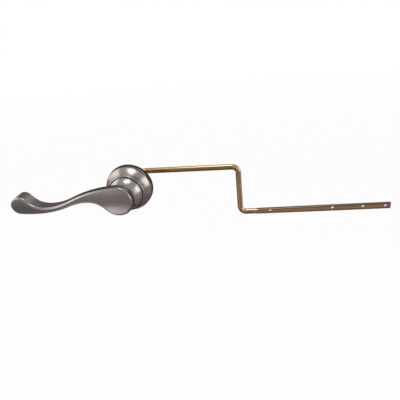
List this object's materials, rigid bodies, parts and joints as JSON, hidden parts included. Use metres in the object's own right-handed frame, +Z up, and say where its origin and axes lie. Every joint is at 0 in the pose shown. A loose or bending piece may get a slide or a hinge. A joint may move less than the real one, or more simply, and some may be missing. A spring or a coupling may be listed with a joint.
{
  "type": "cistern lever",
  "caption": "Front-mount cistern flush lever: wave-shaped satin nickel handle on a round flange, turning a bent brass arm with a flattened, drilled end.",
  "frame": {"origin": "on the spindle axis at the outer face of the cistern wall", "axes": "+X along the arm, +Y into the cistern along the spindle, +Z up"},
  "size_m": [0.3282, 0.0731, 0.0697],
  "materials": {
    "satin_nickel": "satin nickel plate",
    "satin_nickel_flange": "satin nickel plate",
    "screw_steel": "zinc plated",
    "clip_steel": "bright spring steel",
    "black_rubber": "matte",
    "washer_rubber": "matte",
    "white_nylon": "natural nylon",
    "shank_brass": "turned",
    "nut_brass": "turned",
    "spindle_brass": "turned",
    "arm_brass": "drawn rod, slightly dull"
  },
  "bodies": {
    "mount": {"escutcheon": "satin_nickel_flange", "wall_gasket": "black_rubber", "threaded_shank": "shank_brass", "thrust_washer": "white_nylon", "tank_washer": "washer_rubber", "lock_nut": "nut_brass", "clip_washer": "white_nylon"},
    "lever": {"lever_handle": "satin_nickel", "handle_set_screw": "screw_steel", "spindle": "spindle_brass", "retaining_clip": "clip_steel", "lever_arm": "arm_brass", "arm_set_screw": "screw_steel"}
  },
  "joints": [
    {"name": "flush", "type": "hinge", "parent": "mount", "child": "lever", "pos_m": [0, 0, 0], "axis": [0, -1, 0], "range_deg": [0, 35]}
  ]
}
